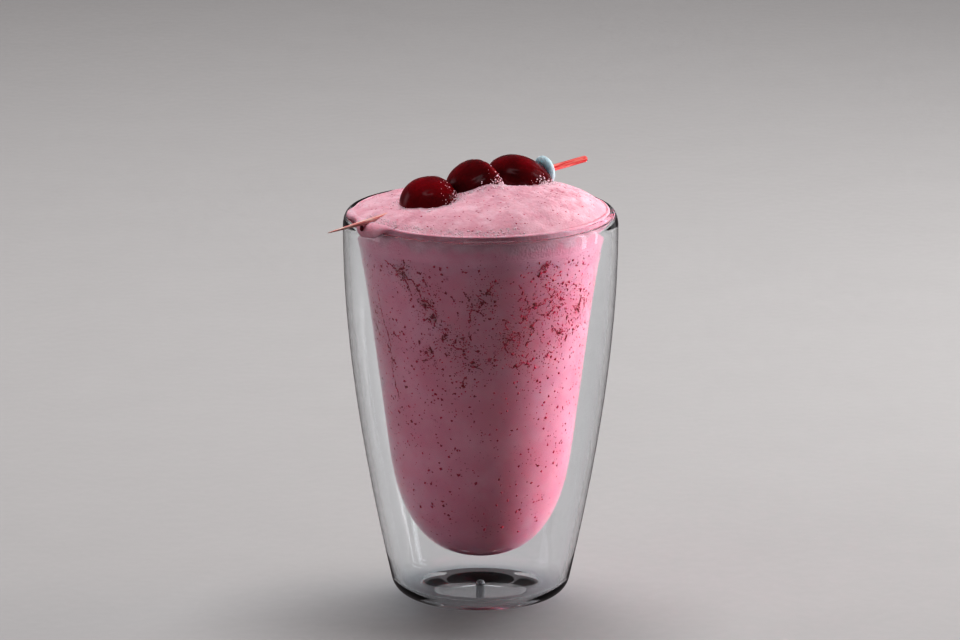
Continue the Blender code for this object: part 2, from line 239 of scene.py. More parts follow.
def blend(tree, share, first, second):
    """A colour between two, by a share that is a pattern."""
    made = add(tree, "Mix", data_type="RGBA")
    tree.links.new(share, made.inputs[0])
    for socket, colour in ((made.inputs[6], first), (made.inputs[7], second)):
        if isinstance(colour, bpy.types.NodeSocket):
            tree.links.new(colour, socket)
        else:
            socket.default_value = (*colour, 1.0)
    return made.outputs[2]


def mottled(tree, shader, place, scale, detail, first, second):
    """Gives the shader a colour that wanders between two with a cloudy pattern."""
    pattern = noise(tree, place, scale, detail)
    tree.links.new(blend(tree, pattern, first, second), shader.inputs["Base Color"])


def uneven_gloss(tree, shader, place, scale, detail, low, high, start, end):
    """Spreads the shader's roughness over start to end as a cloudy pattern goes from low to high."""
    pattern = noise(tree, place, scale, detail)
    tree.links.new(span(tree, pattern, low, high, start, end), shader.inputs["Roughness"])


def relief(tree, shader, height, strength, distance):
    """Raises the surface's shading by a pattern, distance metres deep."""
    bump = add(tree, "Bump", {"Height": height, "Strength": strength, "Distance": distance})
    tree.links.new(bump.outputs["Normal"], shader.inputs["Normal"])


def let_lamps_through(tree, shader, tint):
    """Lamps shine straight through the glass, tinted a little, onto what is in it."""
    clear = add(tree, "BsdfTransparent", {"Color": (*tint, 1.0)})
    lamp = add(tree, "LightPath").outputs["Is Shadow Ray"]
    both = add(tree, "MixShader", {0: lamp, 1: shader.outputs[0], 2: clear.outputs[0]})
    tree.links.new(both.outputs[0], tree.nodes["Material Output"].inputs["Surface"])


clear_glass, tree, shader, place = finish_of(
    "clear_glass", Base_Color=(0.975, 0.99, 1.0, 1.0), IOR=1.47, Transmission_Weight=1.0)
uneven_gloss(tree, shader, place, 45, 3, 0.50, 0.85, 0.0, 0.035)
relief(tree, shader, noise(tree, place, 22, 1), 0.02, 0.0006)
let_lamps_through(tree, shader, (0.95, 0.97, 0.98))
skin("double_wall_glass", turn_rows(glass_profile(), GLASS_SIDES), clear_glass, ["glass"])

# The vent plug
# A clear soft plug, pushed into the small hole that the air between the walls left by. It is flush
# with the base below and ends in a dome inside.

PLUG_RADIUS = 0.0015
PLUG_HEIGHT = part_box("vent_plug")[1][2]
PLUG_EDGE = 0.0001        # its bevelled lower edge
PLUG_SIDES = 40

silicone, tree, shader, place = finish_of("clear_silicone", IOR=1.41, Transmission_Weight=0.7)
mottled(tree, shader, place, 900, 3, (0.74, 0.76, 0.78), (0.90, 0.91, 0.92))
uneven_gloss(tree, shader, place, 1400, 2, 0.3, 0.7, 0.18, 0.34)
relief(tree, shader, noise(tree, place, 2200, 2), 0.2, 0.0001)
turn = np.linspace(0, 0.5 * math.pi, 10)
plug_dome = np.stack([PLUG_RADIUS * np.cos(turn), PLUG_HEIGHT - PLUG_RADIUS * (1 - np.sin(turn))], 1)
plug_foot = [(0, 0), (0.5 * PLUG_RADIUS, 0), (PLUG_RADIUS - PLUG_EDGE, 0), (PLUG_RADIUS, PLUG_EDGE)]
skin("vent_plug_dome", turn_rows(np.concatenate([plug_foot, plug_dome]), PLUG_SIDES), silicone,
     ["vent_plug"])

# The milkshake
# Cherries blended with milk and ice cream: thick, pink and opaque, and clouded where the froth has
# mixed in. It fills the inner wall up to the foam, and reaches a hair into the glass so that no air shows.

FOAM_BOTTOM = 0.1180      # level where drink becomes foam
INTO_GLASS = 0.0002       # how far what fills the glass reaches into its wall
TOP_EDGE = 0.00004        # height of the last row below the top edge, which keeps that edge crisp
DRINK_GLOW_ENDS = (0.1145, 0.1178)    # heights over which the light that wanders inside fades out

DRINK_PALE = (0.80, 0.400, 0.500)
DRINK_DEEP = (0.77, 0.325, 0.425)
DRINK_FLECK = (0.40, 0.02, 0.07)


def height_of(tree, place):
    """The height of each place above the table."""
    return add(tree, "SeparateXYZ", {"Vector": place}).outputs["Z"]


def drink_colour(tree, place):
    """The milkshake's pink: broad clouds of paler froth, fine mottling, and specks too small to model."""
    clouds = noise(tree, place, 75, 4, 0.55)
    mottle = noise(tree, place, 520, 3, 0.6)
    pink = blend(tree, span(tree, clouds, 0.34, 0.66), DRINK_DEEP, DRINK_PALE)
    pink = blend(tree, span(tree, mottle, 0.52, 0.85, 0.0, 0.6), pink, DRINK_DEEP)
    specks = add(tree, "TexVoronoi", {"Vector": place, "Scale": 620.0}).outputs["Distance"]
    thick = span(tree, noise(tree, place, 130, 2), 0.45, 0.62, 0.0, 0.14)
    speck = add(tree, "Math", {0: specks, 1: thick}, operation="LESS_THAN").outputs[0]
    faint = add(tree, "Math", {0: speck, 1: 0.75}, operation="MULTIPLY").outputs[0]
    pink = blend(tree, faint, pink, DRINK_FLECK)
    # shreds a little way in show as soft smudges
    sunk = noise(tree, place, 330, 4, 0.75)
    return blend(tree, span(tree, sunk, 0.62, 0.74, 0.0, 0.55), pink, DRINK_FLECK)


drink, tree, shader, place = finish_of(
    "milkshake_pink", Roughness=0.55, Subsurface_Weight=1.0, Subsurface_Scale=0.011,
    Subsurface_Radius=(1.0, 0.30, 0.38), Specular_IOR_Level=0.1)
tree.links.new(drink_colour(tree, place), shader.inputs["Base Color"])
relief(tree, shader, noise(tree, place, 900, 3), 0.15, 0.0002)
# light that wanders inside one piece is lost at the next, which would draw a dark line where they meet
glow = span(tree, height_of(tree, place), *DRINK_GLOW_ENDS, 1.0, 0.0)
tree.links.new(glow, shader.inputs["Subsurface Weight"])
side = bowl_points(WALL - INTO_GLASS, FOAM_BOTTOM, 40, 60)
side = np.insert(side, -1, side[-1] - (0, TOP_EDGE), axis=0)
top = [(share * side[-1, 0], FOAM_BOTTOM) for share in (0.66, 0.33, 0)]
skin("thick_milkshake", turn_rows(np.concatenate([side, top]), GLASS_SIDES), drink, ["milkshake"])

# The cherry skins
# Blending tears the skins into dark red specks, threads and small branching tangles. They lie against
# the inner wall, thickest in the upper two thirds of the glass.

SKIN_THICK = 0.00010
FLAKES_BELOW = 0.1172     # no flake's middle lies above this height
SPECKS = 2600
SPECK_LENGTHS = (0.00042, 0.00085)    # the shortest, and how much longer the longest is
SPECK_HEIGHTS = (0.022, 0.094)        # the lowest, and how much higher the highest is
STEPS = 9                 # flakes in a thread
STEP_LENGTHS = (0.00020, 0.00060)
THREAD_WIDTH = 0.00052
THREAD_WANDER = 0.40      # change of a thread's heading at each step, in radians
KNOTS = 5                 # places in a tangle that threads start from
KNOT_LENGTHS = (0.0010, 0.0021)
DUST_EACH = 150           # fine specks round each tangle
DUST_LENGTHS = (0.00026, 0.00044)
# each tangle: bearing in degrees (270 is the front), height, spread, number of threads
TANGLES = (
    (229, 0.112, 0.0055, 12), (244, 0.101, 0.0050, 10), (270, 0.103, 0.0065, 14),
    (258, 0.094, 0.0050, 7), (300, 0.113, 0.0045, 7), (296, 0.101, 0.0050, 12),
    (312, 0.104, 0.0050, 10), (204, 0.092, 0.0090, 12), (284, 0.092, 0.0060, 12),
    (319, 0.091, 0.0060, 10), (292, 0.087, 0.0060, 10), (262, 0.082, 0.0080, 8),
    (335, 0.100, 0.0080, 9), (240, 0.086, 0.0070, 6), (10, 0.100, 0.0090, 12),
    (40, 0.108, 0.0070, 10), (75, 0.103, 0.0080, 12), (105, 0.092, 0.0080, 9),
    (135, 0.104, 0.0080, 12), (165, 0.098, 0.0080, 10))
# each vein: (bearing, height) of the places that it runs through
VEINS = (((207, 0.103), (209, 0.095), (213, 0.088), (212, 0.078), (215, 0.070)),
         ((219, 0.1155), (228, 0.1125), (236, 0.1100), (239, 0.1055)),
         ((241, 0.1045), (247, 0.1010), (246, 0.0960)),
         ((262, 0.108), (266, 0.1035), (264, 0.098)),
         ((289, 0.110), (293, 0.105), (296, 0.101), (291, 0.097)))
VEIN_FLAKES = 26
VEIN_WIDTHS = (0.00035, 0.00075)


def fleck_piece(name, place_on, centres, length, width, bend, heading, thick, finish):
    """Many small closed flakes as one mesh.

    Each is a flat lens: an ellipse of its length and width, its corners torn in and out by turns, bent into
    a parabola by bend, turned to its heading and laid on the surface by place_on(centres, sideways,
    upwards, lift), with a middle point raised by half its thickness on either side.
    """
    corners = 8
    rng = np.random.default_rng(len(length))
    turn = np.arange(corners) * 2 * math.pi / corners
    torn = np.where(np.arange(corners) % 2, rng.uniform(0.35, 0.95, (len(length), corners)),
                    rng.uniform(0.75, 1.35, (len(length), corners)))
    u = 0.5 * length[:, None] * np.cos(turn) * torn
    v = 0.5 * width[:, None] * np.sin(turn) * torn + bend[:, None] * np.cos(turn) ** 2
    u, v = np.pad(u, ((0, 0), (0, 2))), np.pad(v, ((0, 0), (0, 2)))
    lift = np.zeros_like(u)
    lift[:, -2:] = 0.5 * thick, -0.5 * thick
    cosine, sine = np.cos(heading)[:, None], np.sin(heading)[:, None]
    points = place_on(centres[:, None, :], u * cosine - v * sine, u * sine + v * cosine, lift)
    first = np.arange(len(length))[:, None] * (corners + 2)
    here, after = np.arange(corners), np.roll(np.arange(corners), -1)
    over = np.stack([first + here, first + after, first + corners + 0 * here], axis=2)
    under = np.stack([first + after, first + here, first + corners + 1 + 0 * here], axis=2)
    faces = np.concatenate([over, under]).reshape(-1, 3)
    return mesh_piece(name, points.reshape(-1, 3), faces.tolist(), finish)


def on_the_wall(centres, sideways, upwards, lift):
    """A place on the milkshake's side: bearing and height, plus metres sideways and upwards."""
    height = centres[..., 1] + upwards
    wall = bowl_radius(height) - WALL + INTO_GLASS + 0.6 * SKIN_THICK + lift
    bearing = centres[..., 0] + sideways / wall
    return np.stack([wall * np.cos(bearing), wall * np.sin(bearing), height], axis=-1)


def small_sizes(rng, sizes, power, count):
    """Mostly small sizes: the first of the two, plus the second times a random share from 0 to 1."""
    return sizes[0] + sizes[1] * rng.power(power, count)


rng = np.random.default_rng(7)
places, lengths, widths, headings = [], [], [], []


def lay(bearing, height, length, width, heading):
    """Keeps a group of flakes, those below the foam, for the one mesh that they all make."""
    below = height < FLAKES_BELOW
    places.append(np.stack([bearing, height], 1)[below])
    lengths.append(length[below])
    widths.append(width[below])
    headings.append(heading[below])


speck_length = small_sizes(rng, SPECK_LENGTHS, 0.45, SPECKS)
lay(rng.uniform(0, 2 * math.pi, SPECKS), SPECK_HEIGHTS[0] + SPECK_HEIGHTS[1] * rng.power(1.5, SPECKS),
    speck_length, speck_length * rng.uniform(0.5, 1.0, SPECKS), rng.uniform(0, math.pi, SPECKS))

for bearing, height, spread, threads in TANGLES:
    # every thread is a short walk from a knot that keeps roughly to its heading, with a torn flake at each
    # step, thinning out towards its end
    knots = rng.normal(0, 0.55 * spread, (KNOTS, 2))
    heading = rng.uniform(0, 2 * math.pi, (threads, 1))
    heading = heading + np.cumsum(rng.normal(0, THREAD_WANDER, (threads, STEPS)), axis=1)
    step = rng.uniform(*STEP_LENGTHS, (threads, STEPS))
    walk = np.cumsum(step[..., None] * np.stack([np.cos(heading), np.sin(heading)], 2), axis=1)
    walk += knots[rng.integers(0, KNOTS, threads)][:, None]
    kept = rng.uniform(size=(threads, STEPS)) < rng.uniform(0.15, 0.95, (threads, 1))
    thinning = np.linspace(1.0, 0.4, STEPS) * rng.uniform(0.6, 1.5, (threads, 1))
    dust = knots[rng.integers(0, KNOTS, DUST_EACH)] + rng.normal(0, 0.5 * spread, (DUST_EACH, 2))
    spots = np.concatenate([walk[kept], knots, dust])
    knot_length = rng.uniform(*KNOT_LENGTHS, KNOTS)
    dust_length = small_sizes(rng, DUST_LENGTHS, 0.45, DUST_EACH)
    lay(math.radians(bearing) + spots[:, 0] / bowl_radius(height), height + spots[:, 1],
        np.concatenate([1.6 * step[kept], knot_length, dust_length]),
        np.concatenate([(THREAD_WIDTH * thinning)[kept], 0.6 * knot_length, 0.8 * dust_length]),
        np.concatenate([heading[kept], rng.uniform(0, math.pi, KNOTS + DUST_EACH)]))

for vein in VEINS:
    # a vein's flakes follow its places, wander a little, and overlap where it is whole
    bearing, height = np.array(vein).T
    share = np.linspace(0, len(vein) - 1, VEIN_FLAKES)
    bearing = np.radians(np.interp(share, np.arange(len(vein)), bearing))
    bearing = bearing + rng.normal(0, 0.006, VEIN_FLAKES)
    height = np.interp(share, np.arange(len(vein)), height) + rng.normal(0, 0.00022, VEIN_FLAKES)
    run, climb = np.gradient(bearing) * bowl_radius(height), np.gradient(height)
    length = 1.6 * np.hypot(run, climb)
    kept = rng.uniform(size=VEIN_FLAKES) < 0.88
    lay(bearing[kept], height[kept], length[kept], rng.uniform(*VEIN_WIDTHS, VEIN_FLAKES)[kept],
        np.arctan2(climb, run)[kept])

places, length, width, heading = (np.concatenate(a) for a in (places, lengths, widths, headings))
bend = rng.normal(0, 0.08, len(length)) * length

cherry_shreds, tree, shader, place = finish_of(
    "torn_cherry_skin", Roughness=0.6, Specular_IOR_Level=0.05, Subsurface_Weight=0.35,
    Subsurface_Scale=0.0006)
tree.links.new(blend(tree, span(tree, noise(tree, place, 520, 2), 0.38, 0.66), (0.30, 0.003, 0.024),
                     (0.66, 0.035, 0.110)), shader.inputs["Base Color"])
relief(tree, shader, noise(tree, place, 2600, 2), 0.3, 0.0001)
fleck_piece("cherry_skin_flecks", on_the_wall, places, length, width, bend, heading,
                    SKIN_THICK, cherry_shreds)

# The foam head
# Milk froth, pale pink and full of fine bubbles. It domes above the rim, and at the left front it runs
# over and clings to the outside in short lobes.

FOAM_SIDES = 500
DOME = 0.0070             # height of the foam's middle above its edge
DOME_POWER = 3.6          # fullness of the dome: 2 is a plain arch, more is flatter with a steeper edge
DOME_TILT = 9.0           # how much higher it stands towards +X, for each metre
# each heap on the dome: place, height, reach
HEAPS = ((0.001, -0.007, 0.0038, 0.0065), (0.012, -0.004, 0.0007, 0.008), (-0.033, -0.018, 0.0014, 0.007))
FOAM_EDGE = 0.0007        # thickness of the foam where it thins out on the rim
FOAM_SHORT = -0.0009      # where the foam ends on the rim: short of its highest line, or past it
EDGE_WAVER = 0.00010      # how far that place strays either way
EDGE_ROUND = 0.0008       # length of the rounding where its top comes down to the glass
EDGE_START = 0.0006       # least distance from the rim's highest line back to that rounding
OVER_FULL = 0.0020        # distance past that line where a run has its full thickness
UNDER_START = 0.0024      # distance before that line where the foam's under side becomes regular
RUN_LIMIT = 0.0040        # lowest that a run could reach, below the shoulder
RUN_THICKER = 0.7         # share by which a run is thicker than the edge
UNDER_DROP = 0.0004       # how far the foam's under side dips into the milkshake
SWELL = 0.00025           # height of the slow waves on the dome
SWELL_PACE = (310, 270)   # their pace across and back, in radians for each metre
SWELL_SHIFT = (1.0, 0.4)
# each layer of the froth's unevenness: height, size of its hills, seed
FROTH_HILLS = ((0.00014, 0.0042, 1), (0.00010, 0.0017, 2), (0.00008, 0.0009, 4))
HILL_TABLE = 97           # lattice points each way before the hills repeat
FOAM_GLOW = 0.6           # share of its light that wanders inside
FOAM_GLOW_STARTS = (0.1186, 0.1220)   # heights over which that fades in
WHIPPED = (0.1166, 0.1192)            # heights over which the drink's colour turns to the froth's
SCALLOP = 0.0070          # how far the cloudy pattern moves those heights
# each run over the rim: bearing and half width in degrees, length past the usual end
RUNS = ((211.0, 7.5, 0.0052), (221.0, 6.0, 0.0038), (190.0, 10.0, 0.0026), (0.0, 45.0, 0.0006))


def hills(x, y, size, seed):
    """Smooth hills from -1 to 1: a random height at each point of a square lattice, eased between."""
    table = np.random.default_rng(seed).uniform(-1, 1, (HILL_TABLE, HILL_TABLE))
    u, v = x / size, y / size
    i, j = np.floor(u).astype(int), np.floor(v).astype(int)
    s, t = u - i, v - j
    s, t = s * s * (3 - 2 * s), t * t * (3 - 2 * t)
    i, next_i = i % HILL_TABLE, (i + 1) % HILL_TABLE
    j, next_j = j % HILL_TABLE, (j + 1) % HILL_TABLE
    near = table[i, j] * (1 - s) + table[next_i, j] * s
    far = table[i, next_j] * (1 - s) + table[next_i, next_j] * s
    return near * (1 - t) + far * t


rim_heights = np.linspace(FOAM_BOTTOM, GLASS_HEIGHT - RIM_INSIDE, 60)
rim_line = np.concatenate([
    wall_points(bowl_radius, rim_heights, WALL), rim_points(40, 40),
    wall_points(outer_radius, np.linspace(SHOULDER, SHOULDER - RUN_LIMIT, 12)[1:], 0)])
rim_along = np.concatenate([[0], np.cumsum(np.linalg.norm(np.diff(rim_line, axis=0), axis=1))])
rim_heading = np.gradient(rim_line, axis=0)
rim_heading /= np.linalg.norm(rim_heading, axis=1)[:, None]
rim_away = np.stack([-rim_heading[:, 1], rim_heading[:, 0]], 1)
rim_crest = rim_along[np.argmax(rim_line[:, 1])]


def beside_glass(distance, clearance):
    """(radius, height) at a distance along the glass from the foam's bottom, held off by clearance."""
    return tuple(np.interp(distance, rim_along, rim_line[:, i])
                 + clearance * np.interp(distance, rim_along, rim_away[:, i]) for i in (0, 1))


def foam_edge(bearing):
    """The foam's edge at each bearing.

    Gives where it ends along the glass, where its top starts to round down to there, and its thickness.
    A run carries the end further along by a bell curve about its bearing.
    """
    waver = EDGE_WAVER * hills(40 * np.cos(bearing), 40 * np.sin(bearing), 6.0, 3)
    end = rim_crest + FOAM_SHORT + waver
    for place_at, half_width, length in RUNS:
        apart = (np.degrees(bearing) - place_at + 180) % 360 - 180
        end = end + length * np.exp(-(apart / half_width) ** 2)
    over = np.clip((end - rim_crest) / OVER_FULL, 0, 1)
    return end, np.minimum(end - EDGE_ROUND, rim_crest - EDGE_START), FOAM_EDGE * (1 + RUN_THICKER * over)


def foam_top(bearing, share):
    """The foam's upper skin: share is 0 in the middle and 1 at its edge.

    A flattened dome, tilted up towards +X, with a few heaps, broad swells and the fine unevenness of
    froth, all easing out to the height of its edge.
    """
    _, start, thickness = foam_edge(bearing)
    edge_radius, edge_height = beside_glass(start, thickness)
    usual = beside_glass(rim_crest + FOAM_SHORT - EDGE_ROUND, FOAM_EDGE)[1]
    x, y = share * edge_radius * np.cos(bearing), share * edge_radius * np.sin(bearing)
    heaps = SWELL * np.sin(SWELL_PACE[0] * x + SWELL_SHIFT[0]) * np.sin(SWELL_PACE[1] * y + SWELL_SHIFT[1])
    for place_x, place_y, tall, spread in HEAPS:
        heaps = heaps + tall * np.exp(-((x - place_x) ** 2 + (y - place_y) ** 2) / spread ** 2)
    froth = sum(tall * hills(x, y, size, seed) for tall, size, seed in FROTH_HILLS)
    level = usual + share ** 4 * (edge_height - usual)
    dome = DOME * (1 + DOME_TILT * x) * (1 - share ** DOME_POWER)
    return np.stack([x, y, level + dome + (1 - share ** 8) * (heaps + froth)], axis=-1)


def foam_rows():
    """Rows round the foam: out over its top, down its rounded edge, back over the rim and down inside."""
    bearing = np.linspace(0, 2 * math.pi, FOAM_SIDES, endpoint=False)
    end, start, thickness = foam_edge(bearing)
    rows = list(foam_top(bearing, np.linspace(0, 1, 128)[:, None] ** 0.9))

    def row(radius, height):
        rows.append(np.stack([radius * np.cos(bearing), radius * np.sin(bearing), height], 1))

    for share in np.sin(0.5 * math.pi * np.linspace(0, 1, 14)[1:-1]):
        row(*beside_glass(start + share * (end - start), thickness * math.sqrt(1 - share ** 2)))
    inner = rim_crest - UNDER_START
    for distance in np.linspace(end.max(), inner, 22)[:-1]:
        row(*beside_glass(np.minimum(end, distance), -INTO_GLASS))
    for share in (*np.linspace(1, 0, 12)[:-1], 0.006, 0.0):
        row(*beside_glass(np.full(FOAM_SIDES, share * inner), -INTO_GLASS))
    radius = np.hypot(*rows[-1][:, :2].T)
    for share in (0.97, 0.5, 0.0):
        row(share * radius, np.full(FOAM_SIDES, FOAM_BOTTOM - UNDER_DROP))
    return np.array(rows)


froth, tree, shader, place = finish_of(
    "pale_pink_froth", Roughness=0.5, Subsurface_Scale=0.003, Subsurface_Radius=(1.0, 0.45, 0.5),
    Specular_IOR_Level=0.25)
fine = add(tree, "TexVoronoi", {"Vector": place, "Scale": 1500.0}, feature="SMOOTH_F1").outputs["Distance"]
patchy = noise(tree, place, 170, 4, 0.6)
pale = blend(tree, span(tree, patchy, 0.35, 0.70), (0.64, 0.35, 0.415), (0.74, 0.48, 0.545))
# painted shade: darker pink at the bottom of each bubble pit that the bump below makes
pale = blend(tree, span(tree, fine, 0.0, 0.32, 0.45, 0.0), pale, (0.60, 0.25, 0.33))
height = height_of(tree, place)
scallop = add(tree, "Math", {0: noise(tree, place, 130, 3), 1: -SCALLOP, 2: height},
              operation="MULTIPLY_ADD").outputs[0]
whipped = span(tree, scallop, *WHIPPED)
tree.links.new(blend(tree, whipped, drink_colour(tree, place), pale), shader.inputs["Base Color"])
glow = span(tree, height, *FOAM_GLOW_STARTS, 0.0, FOAM_GLOW)
tree.links.new(glow, shader.inputs["Subsurface Weight"])
relief(tree, shader, fine, 0.35, 0.0003)
skin("frothy_foam", foam_rows(), froth, ["foam"])

# The flecks in the foam
# Small shreds of cherry skin that the froth has lifted. They lie flat in its surface, mostly lengthwise.

FOAM_FLECKS = 800
FLECKS_REACH = 0.0385     # radius that they keep within
FLECK_LENGTHS = (0.00022, 0.0009)     # the shortest, and how much longer the longest is


def on_the_foam(centres, sideways, upwards, lift):
    """A place on the foam's top: x and y, plus metres along each, at the height of the froth there."""
    x, y = centres[..., 0] + sideways, centres[..., 1] + upwards
    bearing = np.arctan2(y, x) % (2 * math.pi)
    _, start, thickness = foam_edge(bearing)
    share = np.hypot(x, y) / beside_glass(start, thickness)[0]
    points = foam_top(bearing, np.minimum(share, 1))
    points[..., 2] += lift
    return points


rng = np.random.default_rng(11)
around = rng.uniform(0, 2 * math.pi, FOAM_FLECKS)
out = FLECKS_REACH * np.sqrt(rng.uniform(0.02, 1, FOAM_FLECKS))
places = np.stack([out * np.cos(around), out * np.sin(around)], 1)
length = small_sizes(rng, FLECK_LENGTHS, 0.5, FOAM_FLECKS)
width = length * rng.uniform(0.2, 0.5, FOAM_FLECKS)
bend = rng.normal(0, 0.15, FOAM_FLECKS) * length
heading = rng.normal(0, 0.45, FOAM_FLECKS)
fleck_piece("foam_flecks", on_the_foam, places, length, width, bend, heading,
                    SKIN_THICK, cherry_shreds)

# The cherries
# Three pitted cocktail cherries in syrup, nearly black with a wine-red glow where light gets in. Each is
# pushed on the pick through its stem hollow, and presses a little into the next.

PICK_TIP = np.array([-0.0480, -0.0311, 0.1257])
PICK_END = np.array([0.0343, 0.0224, 0.1385])
# each cherry: place along the pick, radius, reach to its blunt end, reach to its hollowed end,
# depth and radius of the hollow, how far it sits above the pick, its stem end's tilt upwards in degrees
CHERRIES = (
    (0.0376, 0.0092, 0.0093, 0.0094, 0.0022, 0.0042, -0.0003, -4.0),
    (0.0562, 0.0095, 0.0105, 0.0075, 0.0024, 0.0044, 0.0005, 14.0),
    (0.0713, 0.0088, 0.0107, 0.0128, 0.0036, 0.0050, -0.0011, -35.0),
)
SHOULDER_ROUND = 2.5      # fullness of a cherry's hollowed end
CHERRY_OVAL = 0.020       # how far a cherry is from round: as an oval, as a rounded triangle, and askew
CHERRY_TRIANGLE = 0.013
CHERRY_SKEW = 0.0003
SEAM_DEPTH = 0.018        # depth of the seam, as a share of the radius, and its half width in radians
SEAM_HALF = 0.16
PUCKERS = 17
PUCKER_DEPTH = 0.010
DENT_DEPTH = 0.012
DENT_SIZE = 0.0030
CHERRY_SIDES = 150

pick_along = (PICK_END - PICK_TIP) / np.linalg.norm(PICK_END - PICK_TIP)
pick_up = np.array([0, 0, 1.0]) - pick_along[2] * pick_along
pick_up /= np.linalg.norm(pick_up)
pick_side = np.cross(pick_up, pick_along)


def thread_on(rows, place_at, lift=0.0, tilt=0.0):
    """Rows about an axis, tilted about their cross-axis and set on the pick at a distance from its tip."""
    angle = math.radians(tilt)
    x, y, z = rows[..., 0:1], rows[..., 1:2], rows[..., 2:3]
    y, z = y * math.cos(angle) + z * math.sin(angle), -y * math.sin(angle) + z * math.cos(angle)
    return PICK_TIP + (place_at + z) * pick_along + (lift + y) * pick_up + x * pick_side


def cherry_rows(radius, blunt, hollowed, depth, mouth, seed):
    """A cherry about its stem axis, blunt end first.

    Half an ellipse, then a fuller superellipse at the stem end, pressed in by a smooth hollow. Slow waves
    round it, a shallow seam down one side, soft dents and fine puckers towards the hollow keep it from
    being regular.
    """
    turn = np.concatenate([np.linspace(0, 0.5, 46), np.linspace(0.5, 1, 62)[1:]]) * math.pi
    top = turn > 0.5 * math.pi
    full = 2 / SHOULDER_ROUND
    sine, cosine = np.sin(turn).clip(0), np.abs(np.cos(turn))
    across = radius * sine ** np.where(top, full, 1.0)
    along = np.where(top, hollowed * cosine ** full, -blunt * cosine)
    along = along - np.where(top, depth * np.exp(-(across / mouth) ** 3), 0)
    bearing = np.linspace(0, 2 * math.pi, CHERRY_SIDES, endpoint=False)
    share, along = (across / radius)[:, None], along[:, None]
    wave = CHERRY_OVAL * np.sin(2 * bearing + seed) + CHERRY_TRIANGLE * np.sin(3 * bearing + 2.1 * seed)
    from_seam = np.angle(np.exp(1j * (bearing - 0.9 - seed)))
    seam = SEAM_DEPTH * np.exp(-(from_seam / SEAM_HALF) ** 2)
    pucker = PUCKER_DEPTH * np.sin(PUCKERS * bearing + 5 * seed + 6 * along / radius)
    pucker = pucker * np.exp(-((along - 0.75 * hollowed) / (0.35 * hollowed)) ** 2)
    dents = DENT_DEPTH * hills(bearing * radius * 3 + seed, along + 0 * bearing, DENT_SIZE, 20 + seed)
    dents = dents * np.sin(0.5 * bearing) ** 2
    reach = across[:, None] * (1 + (wave - seam) * share + pucker + dents * share)
    height = along + CHERRY_SKEW * share * np.sin(2 * bearing + 1.3 * seed)
    return np.stack([reach * np.cos(bearing), reach * np.sin(bearing), height], axis=2)


cherry, tree, shader, place = finish_of(
    "syrup_cherry", Subsurface_Weight=0.4, Subsurface_Scale=0.004, Subsurface_Radius=(1.0, 0.06, 0.08),
    Coat_Weight=0.40, Coat_Roughness=0.16, Specular_IOR_Level=0.20)
skin_tone = blend(tree, span(tree, noise(tree, place, 70, 2), 0.35, 0.68), (0.080, 0.0006, 0.0030),
                  (0.18, 0.0016, 0.0075))
dots = add(tree, "TexVoronoi", {"Vector": place, "Scale": 900.0}).outputs["Distance"]
skin_tone = blend(tree, span(tree, dots, 0.0, 0.16, 0.10, 0.0), skin_tone, (0.32, 0.012, 0.024))
tree.links.new(skin_tone, shader.inputs["Base Color"])
uneven_gloss(tree, shader, place, 300, 3, 0.3, 0.75, 0.20, 0.40)
relief(tree, shader, noise(tree, place, 260, 2), 0.14, 0.0004)
cherries = [thread_on(cherry_rows(*shape, seed=number), place_at, lift, tilt)
            for number, (place_at, *shape, lift, tilt) in enumerate(CHERRIES, start=1)]
for number, rows in enumerate(cherries, start=1):
    skin(f"cocktail_cherry_{number}", rows, cherry, [f"cherry_{number}"])

# The pick
# A round bamboo pick, dipped in red dye. The dye is thin on the sharpened point, where the pale wood
# shows in streaks, and full and glossy towards the rounded end.

PICK_RADIUS = 0.00105
PICK_POINT = 0.024        # length of the sharpened stretch
PICK_SHARP = 0.00015      # radius at the very tip
PICK_MIDWAY = 0.00075     # radius halfway up the sharpened stretch
PICK_SIDES = 36
GRAIN_DEPTH = 0.03        # as a share of the radius
DYED = (0.010, 0.034)     # distances from the tip over which the dye grows full

pick_length = np.linalg.norm(PICK_END - PICK_TIP)
point_at = np.linspace(0, 1, 26)[:, None]
taper = (PICK_SHARP + (PICK_MIDWAY - PICK_SHARP) * np.minimum(2 * point_at, 1)
         + (PICK_RADIUS - PICK_MIDWAY) * np.maximum(2 * point_at - 1, 0))
point = np.concatenate([taper, PICK_POINT * point_at], 1)
shaft_at = np.linspace(PICK_POINT, pick_length - PICK_RADIUS, 62)[1:-1]
shaft = np.stack([np.full(60, PICK_RADIUS), shaft_at], 1)
turn = np.linspace(0, 0.5 * math.pi, 8)
butt = np.stack([PICK_RADIUS * np.cos(turn), pick_length - PICK_RADIUS * (1 - np.sin(turn))], 1)
rows = turn_rows(np.concatenate([[(0, 0)], point, shaft, butt]), PICK_SIDES)
grain = 1 + GRAIN_DEPTH * hills(9 * np.arctan2(rows[..., 1], rows[..., 0]), 60 * rows[..., 2], 1.0, 31)
rows[..., :2] *= grain[..., None]

bamboo, tree, shader, place = finish_of("dyed_bamboo", Coat_Weight=1.0, Coat_Roughness=0.22)
